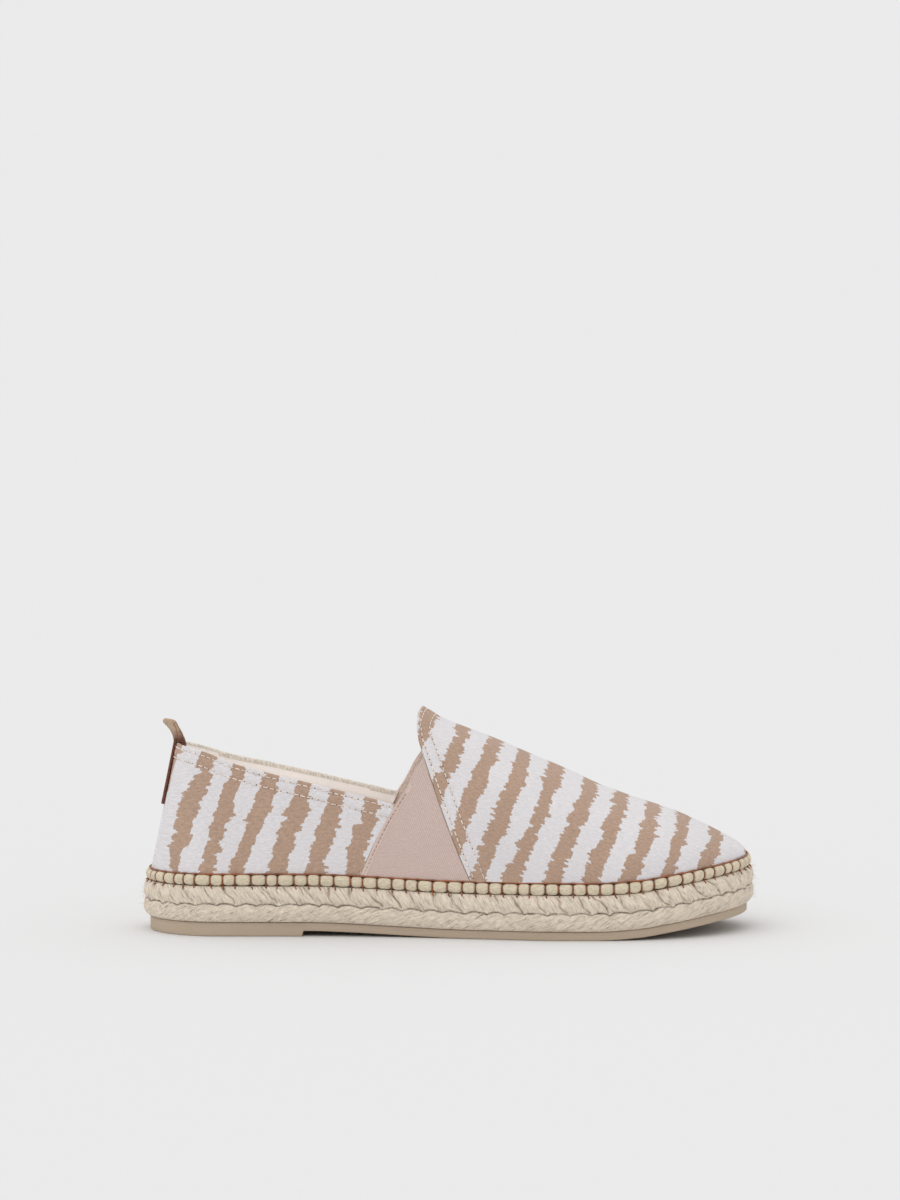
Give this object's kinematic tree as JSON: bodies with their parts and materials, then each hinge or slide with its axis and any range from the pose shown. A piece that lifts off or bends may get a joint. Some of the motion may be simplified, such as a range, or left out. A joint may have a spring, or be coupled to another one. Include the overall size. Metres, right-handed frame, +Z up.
{
  "type": "espadrille",
  "caption": "Slip-on espadrille with a striped fabric upper, elastic side gores, a heel tab, a whipped jute midsole and a thin rubber outsole.",
  "frame": {"origin": "on the floor, under the middle of the sole's box", "axes": "+X from heel to toe, +Z up, -Y towards the outer side of the foot"},
  "size_m": [0.2854, 0.103, 0.1034],
  "materials": {
    "rubber": "matt taupe rubber sheet",
    "jute": "plaited jute yarn, straw coloured, hairy",
    "cord": "khaki cord whipped with waxed brown thread",
    "canvas": "fine twill with slanted tan and white stripes that have broken edges",
    "elastic": "ribbed pinkish beige elastic",
    "suede": "dark brown suede with a tan face",
    "lining": "cream cotton lining"
  },
  "bodies": {
    "root": {"outsole": "rubber", "jute_sole": "jute", "seam_cord": "cord", "upper": "canvas", "gore_outer": "elastic", "gore_inner": "elastic", "insole": "lining", "pull_tab": "suede"}
  },
  "joints": []
}
